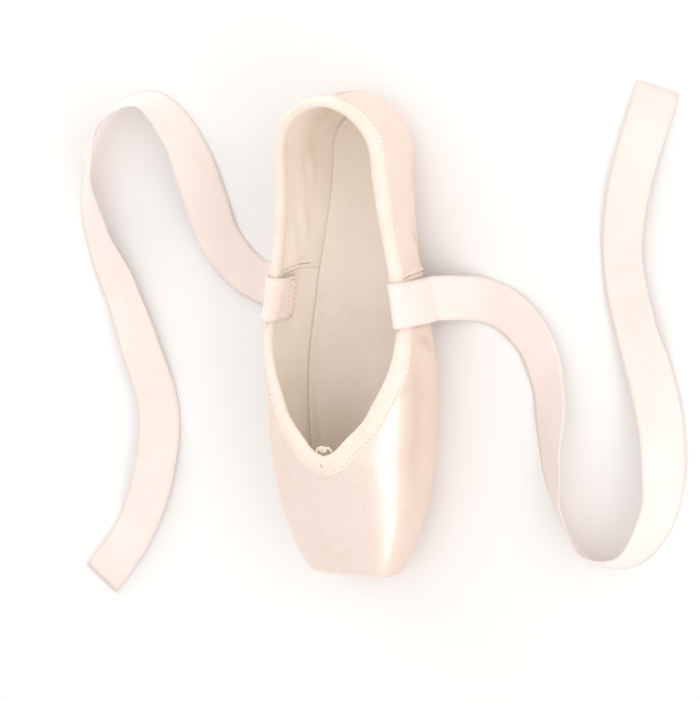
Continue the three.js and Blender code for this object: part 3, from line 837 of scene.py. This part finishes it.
def makeOutsole():
    bm = bmesh.new()
    marks = {}
    rows, columns = sole["rows"], sole["columns"]

    def place(u, v):
        # rows lie closer on the scored forefoot and at the two rounded ends
        share = u + sole["crowding"] * math.sin(2 * math.pi * u)
        along = sole["start"] + sole["endGap"] + (sole["end"] - sole["start"] - 2 * sole["endGap"]) * share
        ragged = sole["ragged"] * ripple(3.0, along / 3.1, 1.0 if v > 0.5 else 5.0)
        half = outsoleHalf(along) + ragged * ease(outsoleHalf(along), 3, 9)
        x = half * (v * 2 - 1)
        nearEnds = min((along - sole["start"]) * 0.9, (sole["end"] - along) * 0.9)
        fromEdge = min(half - abs(x), nearEnds)
        base = smooth(lastRows, "under", along) - sole["gap"] - sole["thickness"]
        height = base + sole["bevel"] * (1 - ease(fromEdge, 0, 3.2)) + 0.12 * (1 - ease(fromEdge, 3, 8))
        score = scoreAt(x, along, min(half - abs(x), along - sole["start"]))
        height += sole["scoreDepth"] * score
        dimple = 0
        for nail in nails:
            away = math.hypot(x - nail["x"], along - nail["at"])
            dimple = max(dimple, 1 - ease(away, 0.5, 1.3))
        height += sole["nailDepth"] * dimple + sole["uneven"] * ripple(5.0, x / 8, along / 11)
        height = max(height, 0.0)
        spot = Vector((x, along + shoe["toeFace"], height)) * mm
        marks[tuple(spot)] = (min(1, 0.75 * score + dimple), fromEdge, along)
        return spot

    addSheet(bm, rows, columns, place)
    bmesh.ops.remove_doubles(bm, verts=bm.verts, dist=0.00003)
    bmesh.ops.reverse_faces(bm, faces=bm.faces)

    def raiseRing(edges, share, drop):
        made = bmesh.ops.extrude_edge_only(bm, edges=edges)["geom"]
        for vert in (item for item in made if isinstance(item, bmesh.types.BMVert)):
            along = vert.co.y / mm - shoe["toeFace"]
            middle = min(max(along, sole["start"] + 14), sole["end"] - 14)
            x = vert.co.x / mm * share
            along = middle + (along - middle) * share
            top = undersideHeight(x, along) - sole["gap"] - drop
            vert.co = Vector((x, along + shoe["toeFace"], top)) * mm
        return [item for item in made if isinstance(item, bmesh.types.BMEdge)]

    edges = [edge for edge in bm.edges if edge.is_boundary]
    for share, drop in sole["rings"]:
        edges = raiseRing(edges, share, drop)
    bmesh.ops.contextual_create(bm, geom=edges)
    paintedShadeAndScoring, soil = addShadeLayers(bm)
    for vert in bm.verts:
        known = marks.get(tuple(vert.co))
        if known:
            score, fromEdge, along = known
            vert[paintedShadeAndScoring] = score
            worn = sole["worn"] * ease(ripple(8.0, vert.co.x / mm / 9, along / 13), 0.05, 0.5)
            vert[soil] = min(1, 0.3 * (1 - ease(fromEdge, 0.2, 1.0)) + worn * (1 if along < 105 else 0.4))
        else:
            vert[soil] = 0.8
    bmesh.ops.recalc_face_normals(bm, faces=bm.faces)
    piece = finishMesh("outsoleLeather", bm, soleLeather)
    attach(piece, "root")
    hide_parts("outsole")


makeOutsole()
print("outsole made")

sock = dict(start=13, inset=8.2, top=2.8, thickness=1.3, rows=150, columns=44, clear=0.15)
# where the ball and the heel of a foot have pressed it down
pressedRows = table("at spread depth", [(82, 22, 0.35), (222, 16, 0.3)])


def makeSock():
    bm = bmesh.new()

    def place(u, v):
        at = sock["start"] + (shoe["lastEnd"] - sock["start"]) * u
        half = section(at)[0] - sock["inset"]
        angle = angleAlong(at, -90, angleUnder(at, half), v)
        edge = (1 - v) * half
        wall = smooth(lastRows, "wall", at)
        deep = wall + sock["top"]
        rest = upper["thickness"] + sock["thickness"] + sock["clear"]
        out = rest + (deep - rest) * ease(edge, 0.0, 7.0)
        pressed = sum(row["depth"] * math.exp(-((at - row["at"]) / row["spread"]) ** 2)
                      for row in pressedRows)
        out = -out + pressed * ease(edge, 3, 14) + 0.1 * ripple(11.0, at / 12, edge / 8)
        return skin(at, angle, out) * mm

    addSheet(bm, sock["rows"], sock["columns"], place)
    addSheet(bm, sock["rows"], sock["columns"], lambda u, v: sided(place(u, v), -1), mirrored=True)
    for vert in bm.verts:
        if abs(vert.co.x) < 0.00002:
            vert.co.x = 0
    bmesh.ops.remove_doubles(bm, verts=bm.verts, dist=0.00003)
    bmesh.ops.recalc_face_normals(bm, faces=bm.faces)
    middle = min(bm.faces, key=lambda f: (f.calc_center_median() - Vector((0, 0, 0.008))).length)
    if middle.normal.z < 0:
        bmesh.ops.reverse_faces(bm, faces=bm.faces)
    piece = finishMesh("sockLining", bm, sockCloth)
    thicken(piece, sock["thickness"] * mm)
    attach(piece, "root")
    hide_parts("insole")


makeSock()
print("sock made")

# a tape folded over the topline, the casing of the drawstring, which is not built inside it
binding = dict(steps=190, wallGap=0.1, gathers=0.16, gatherPitch=1.9, sway=0.25, turnLength=0.036)

# one turn of the fold, from the inner edge over the topline to the outer edge and back under itself;
# wall: how many walls in, out: how far past that
foldRows = table("down wall out", [
    (7.5, 1, -0.35), (7.55, 1, -0.75), (7.3, 1, -1.1), (6.0, 1, -1.2), (4.4, 1, -1.6), (2.6, 1, -1.75),
    (1.0, 1, -1.45), (-0.4, 1, -0.95), (-1.15, 1, -0.2), (-1.35, 0.5, 0), (-1.15, 0, 0.2),
    (-0.4, 0, 1.0), (1.0, 0, 1.55), (2.6, 0, 1.85), (4.4, 0, 1.7), (6.0, 0, 1.28), (7.0, 0, 1.12),
    (8.15, 0, 1.0), (8.55, 0, 0.6), (8.55, 0, 0.1), (7.4, 0, 0.02), (4.5, 0, 0.05), (1.4, 0, 0.1),
    (0.0, 0, 0.12), (-0.25, 0.5, 0), (0.0, 1, -0.25), (1.4, 1, -0.3), (4.5, 1, -0.3), (6.6, 1, -0.28),
])


def rimFrame(at):
    # a point of the topline, its direction, the way down the wall, and the way out
    step = 0.2
    here = skin(at, rimAngle(at), 0)
    ahead = skin(min(at + step, shoe["lastEnd"]), rimAngle(min(at + step, shoe["lastEnd"])), 0)
    behindAt = max(at - step, shoe["throat"])
    behind = skin(behindAt, rimAngle(behindAt), 0)
    tangent = ahead - behind
    if at <= shoe["throat"]:
        tangent = Vector((1, 0, 0))
    if at >= shoe["lastEnd"]:
        tangent = Vector((-1, 0, 0))
    normal = normalAt(at, rimAngle(at))
    return here, tangent.normalized(), tangent.cross(normal).normalized(), normal


def rimStations():
    # close places along the topline, and the lengths up to them
    fine = [shoe["throat"] + (shoe["lastEnd"] - shoe["throat"]) * (i / 1500) ** 1.4 for i in range(1501)]
    points = [skin(at, rimAngle(at), 0) for at in fine]
    runs = [0]
    for a, b in zip(points, points[1:]):
        runs.append(runs[-1] + (b - a).length)
    return fine, runs


rimFine, rimRuns = rimStations()


def rimAt(run):
    low, high = spanOf(rimRuns, run)
    part = (run - rimRuns[low]) / (rimRuns[high] - rimRuns[low])
    return rimFine[low] + (rimFine[high] - rimFine[low]) * min(1, max(0, part))


def onRim(at, down, out):
    here, tangent, downward, normal = rimFrame(at)
    place = settle(here + downward * down)
    return skin(place[0], place[1], out)


def makeBinding():
    bm = bmesh.new()
    steps = binding["steps"]
    total = rimRuns[-1]
    count = len(foldRows)
    loops = {}

    def loopAt(i, side):
        key = (i, side)
        if key in loops:
            return loops[key]
        run = total * i / steps
        at = rimAt(run)
        wall = upper["thickness"] + binding["wallGap"]
        wave = math.sin(run * binding["gatherPitch"] + 2.5 * ripple(13.0, run / 11, side))
        tight = 0.5 + 0.9 * math.exp(-run / 26) + 0.4 * ripple(15.0, run / 19, side)  # tighter at the throat
        spots = []
        for row in foldRows:
            out = -wall * row["wall"] + row["out"]
            if row["wall"] == 0 and row["out"] > 0.9:
                out += binding["gathers"] * wave * ease(row["down"], 7.5, 4.5) * tight
            sway = binding["sway"] * ripple(17.0, run / 23, side) if row["down"] > 6 else 0
            spot = sided(onRim(at, row["down"] + sway, out), side)
            if i in (0, steps):
                spot.x = 0
            spots.append(spot)
        loops[key] = spots
        return spots

    def half(side):
        def place(u, v):
            return loopAt(round(u * steps), side)[round(v * count) % count] * mm

        addSheet(bm, steps, count, place, mirrored=side < 0)

    half(1)
    half(-1)
    uv = bm.loops.layers.uv.active
    for face in bm.faces:
        for loop in face.loops:
            u, v = loop[uv].uv
            loop[uv].uv = (u * total * mm, v * binding["turnLength"])
    bmesh.ops.remove_doubles(bm, verts=bm.verts, dist=0.00002)
    bmesh.ops.recalc_face_normals(bm, faces=bm.faces)
    piece = finishMesh("bindingCasing", bm, casingTape)
    soft = piece.modifiers.new("soften", "SUBSURF")
    soft.levels = soft.render_levels = 1
    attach(piece, "root")
    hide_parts("binding")


makeBinding()
print("binding made")

# each kind of stitch: its length and thickness
stitches = dict(binding=(1.5, 0.42), slit=(2.6, 0.7), sideSeam=(2.0, 0.5), backSeam=(1.6, 0.36),
                patch=(1.5, 0.36))
sewing = dict(pitch=2.3, seamPitch=1.482, down=7.05, out=1.2, slant=0.12, sideFrom=-62.0, sideShort=13,
              sideOff=1.15, backFrom=-52.0, backShort=14, backOff=1.35, patchCount=26, patchDeep=3.6,
              patchAngle=5.5, patchBox=(18, 9 / 2.1))  # patchBox: millimetres along, degrees up


def addStitches(name, spots, kind, material):
    # spots: place, direction and outward normal, in mm; every stitch is one small swollen bead of thread, and
    # the slit's painted shade is one such dark bead
    length, width = stitches[kind]
    bm = bmesh.new()
    for place, direction, normal in spots:
        direction = (direction - normal * direction.dot(normal)).normalized()
        side = normal.cross(direction)
        turned = Matrix((direction, side, normal)).transposed().to_4x4()
        sized = Matrix.Diagonal((length / 2, width / 2, width / 2, 1))
        moved = Matrix.Translation(place * mm) @ Matrix.Scale(mm, 4) @ turned @ sized
        bmesh.ops.create_uvsphere(bm, u_segments=8, v_segments=6, radius=1, matrix=moved)
    bmesh.ops.recalc_face_normals(bm, faces=bm.faces)
    piece = finishMesh(name, bm, material)
    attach(piece, "root")


def bindingStitches():
    spots = []
    count = int(rimRuns[-1] / sewing["pitch"])
    for side in (1, -1):
        for i in range(count + 1):
            run = i * rimRuns[-1] / count
            if i in (0, count) and side < 0:
                continue
            at = rimAt(run)
            here, tangent, downward, normal = rimFrame(at)
            spot = onRim(at, sewing["down"], sewing["out"])
            direction = tangent + downward * sewing["slant"]
            spots.append(tuple(sided(v, side) for v in (spot, direction, normal)))
    return spots


def slitSpots():
    # the little slit in the point of the binding where the drawstring comes out, drawn as one dark bead of
    # painted shade
    here, tangent, downward, normal = rimFrame(shoe["throat"])
    return [(onRim(shoe["throat"], 2.9, 1.62), downward + tangent * 0.55, normal)]


def sideSeamStitches():
    # a zigzag over each side seam
    spots = []
    for side in (1, -1):
        angle = sewing["sideFrom"]
        step = 0
        while True:
            at = sideSeam["at"] + 3.0
            for _ in range(3):  # close in on the seam, which leans
                at = sideSeamAt(surface(at, angle))
            if angle > rimAngle(at) - sewing["sideShort"]:
                break
            here = surface(at, angle)
            normal = normalAt(at, angle)
            upward = (surface(at, angle + 0.5) - surface(at, angle - 0.5)).normalized()
            along = (surface(at + 0.5, angle) - surface(at - 0.5, angle)).normalized()
            lean = 1 if step % 2 else -1
            direction = upward * 0.75 + along * lean * 0.8
            spot = here + along * sewing["sideOff"] + normal * 0.22
            spots.append(tuple(sided(v, side) for v in (spot, direction, normal)))
            reach = (surface(at, angle + 0.5) - surface(at, angle - 0.5)).length
            angle += sewing["seamPitch"] / reach
            step += 1
    return spots


def backSeamStitches():
    spots = []
    angle = sewing["backFrom"]
    at = shoe["lastEnd"]
    while angle < rimAngle(at) - sewing["backShort"]:
        here = surface(at, angle)
        upward = surface(at, angle + 0.5) - surface(at, angle - 0.5)
        normal = normalAt(at, angle)
        for side in (1, -1):
            offset = Vector((sewing["backOff"] * side, 0, 0))
            spots.append((here + offset + normal * 0.24, upward, normal))
        angle += sewing["pitch"] / upward.length
    return spots


addStitches("bindingStitches", bindingStitches(), "binding", thread)
addStitches("drawstringSlit", slitSpots(), "slit", slitPaintedShade)
addStitches("sideSeamStitches", sideSeamStitches(), "sideSeam", seamThread)
addStitches("backSeamStitches", backSeamStitches(), "backSeam", thread)


def ribbonStitches():
    # a small oblong of stitches holds each ribbon's end inside the quarter
    spots = []
    wide, tall = sewing["patchBox"]
    inward = -upper["thickness"] - sewing["patchDeep"]
    for side in (1, -1):
        for i in range(sewing["patchCount"]):
            place = i / sewing["patchCount"]
            edge = int(place * 4)
            along, rise = [(place * 4 - 0.5, -0.5), (0.5, place * 4 - 1.5),
                           (2.5 - place * 4, 0.5), (-0.5, 3.5 - place * 4)][edge]
            at = ribbon["at"] + along * wide
            angle = sewing["patchAngle"] + rise * tall
            here = skin(at, angle, inward)
            direction = Vector((0, 0, 1)) if edge % 2 else Vector((0, 1, 0))
            normal = -normalAt(at, angle)
            spots.append(tuple(sided(v, side) for v in (here, direction, normal)))
    return spots


addStitches("ribbonStitches", ribbonStitches(), "patch", thread)
print("sewing made")

# the knot in the point of the throat; its routes are in mm from a place just behind that point
drawstring = dict(radius=0.62, sides=10, steps=7, behind=4.6, height=56.6, strand=0.9, twist=0.09)
knotRoute = [(-1.3, 1.0, -0.6), (-0.5, 1.3, 0.9), (0.7, 0.6, 1.4), (1.2, -0.5, 0.4), (0.2, -1.1, -0.7),
             (-1.1, -0.6, -0.1), (-1.2, 0.4, 1.0), (0.2, 1.3, 1.0), (1.4, 0.9, -0.4)]
strandRoutes = [
    [(-0.5, 0.3, 0.3), (-1.5, 0.9, 0.5), (-2.7, 0.6, 0.2), (-3.6, -0.6, -0.5), (-4.3, -1.6, -1.3)],
    [(0.5, 0.2, 0.4), (1.6, 0.5, 0.7), (2.6, 1.2, 0.1), (3.5, 0.2, -0.6), (4.4, -1.2, -1.3)],
]


def sweepCord(bm, points, radius):
    # a round cord along a smooth route, its two ends drawn together
    spans = len(points) - 1

    def place(u, v):
        where = u * spans
        middle = curvePoint(points, where)
        ahead = curvePoint(points, min(where + 0.02, spans)) - curvePoint(points, max(where - 0.02, 0))
        forward = ahead.normalized()
        side = forward.cross(Vector((0.31, 0.17, 1))).normalized()
        other = forward.cross(side)
        turn = v * 2 * math.pi
        close = min(1, math.sqrt(max(0.0001, 1 - max(0, 1 - u * spans * 3) ** 2)))
        close = min(close, math.sqrt(max(0.0001, 1 - max(0, 1 - (1 - u) * spans * 3) ** 2)))
        twist = 1 + drawstring["twist"] * math.sin(3 * (turn + where * 9))
        return (middle + (side * math.cos(turn) + other * math.sin(turn)) * radius * close * twist) * mm

    addSheet(bm, spans * drawstring["steps"], drawstring["sides"], place)


def makeKnot():
    bm = bmesh.new()
    root = Vector((0, shoe["throat"] + drawstring["behind"] + shoe["toeFace"], drawstring["height"]))
    sweepCord(bm, [root + Vector(row) for row in knotRoute], drawstring["radius"])
    for route in strandRoutes:
        sweepCord(bm, [root + Vector(row) for row in route], drawstring["radius"] * drawstring["strand"])
    bmesh.ops.remove_doubles(bm, verts=bm.verts, dist=0.00001)
    bmesh.ops.recalc_face_normals(bm, faces=bm.faces)
    piece = finishMesh("drawstringKnot", bm, cordCotton)
    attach(piece, "root")
    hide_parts("drawstring_knot")


makeKnot()
print("drawstring made")


room = dict(floor="f6f5f4", walls="fffdfb", strength=0.89, floorSize=4, floorDrop=0.0001)

# the first two are long soft strips beside the shoe, level with its length
lamps = table("name place aim width length power along", [
    ("keyStrip", (1.15, -0.75, 0.78), (0, -0.75, 0.02), 0.46, 3.2, 8.4, (0, 1, 0)),
    ("softStrip", (0.93, -0.75, 1.06), (0, -0.75, 0.02), 0.5, 3.2, 2.2, (0, 1, 0)),
    ("fillAbove", (-0.35, 0.1, 1.5), (0, 0, 0), 1.3, 1.3, 0.9, (0, 1, 0)),
    ("heelStrip", (-0.85, 1.05, 0.34), (0, 0.08, 0.03), 0.3, 1.7, 7.0, (0.78, 0.62, 0)),
])


def makeFloor():
    finish, tree, shader = newFinish("paleFloor", room["floor"], Roughness=0.85, Specular_IOR_Level=0.1)
    bm = bmesh.new()
    bmesh.ops.create_grid(bm, x_segments=2, y_segments=2, size=room["floorSize"], calc_uvs=True)
    bmesh.ops.translate(bm, verts=bm.verts, vec=(0, 0, -room["floorDrop"]))
    finishMesh("floor", bm, finish)


def addLamp(row):
    lamp = bpy.data.lights.new(row["name"], "AREA")
    lamp.shape = "RECTANGLE"
    lamp.size, lamp.size_y = row["width"], row["length"]
    lamp.energy = row["power"]
    thing = bpy.data.objects.new(row["name"], lamp)
    back = (Vector(row["place"]) - Vector(row["aim"])).normalized()
    side = Vector(row["along"]).cross(back).normalized()
    turned = Matrix((side, back.cross(side), back)).transposed().to_4x4()
    thing.matrix_world = Matrix.Translation(row["place"]) @ turned
    bpy.context.collection.objects.link(thing)


def makeLights():
    for row in lamps:
        addLamp(row)
    world = bpy.data.worlds.new("paleRoom")
    world.use_nodes = True
    world.node_tree.nodes["Background"].inputs["Color"].default_value = tint(room["walls"])
    world.node_tree.nodes["Background"].inputs["Strength"].default_value = room["strength"]
    bpy.context.scene.world = world
    bpy.context.scene.view_settings.view_transform = "Standard"


makeFloor()
makeLights()
print("floor and lights set")
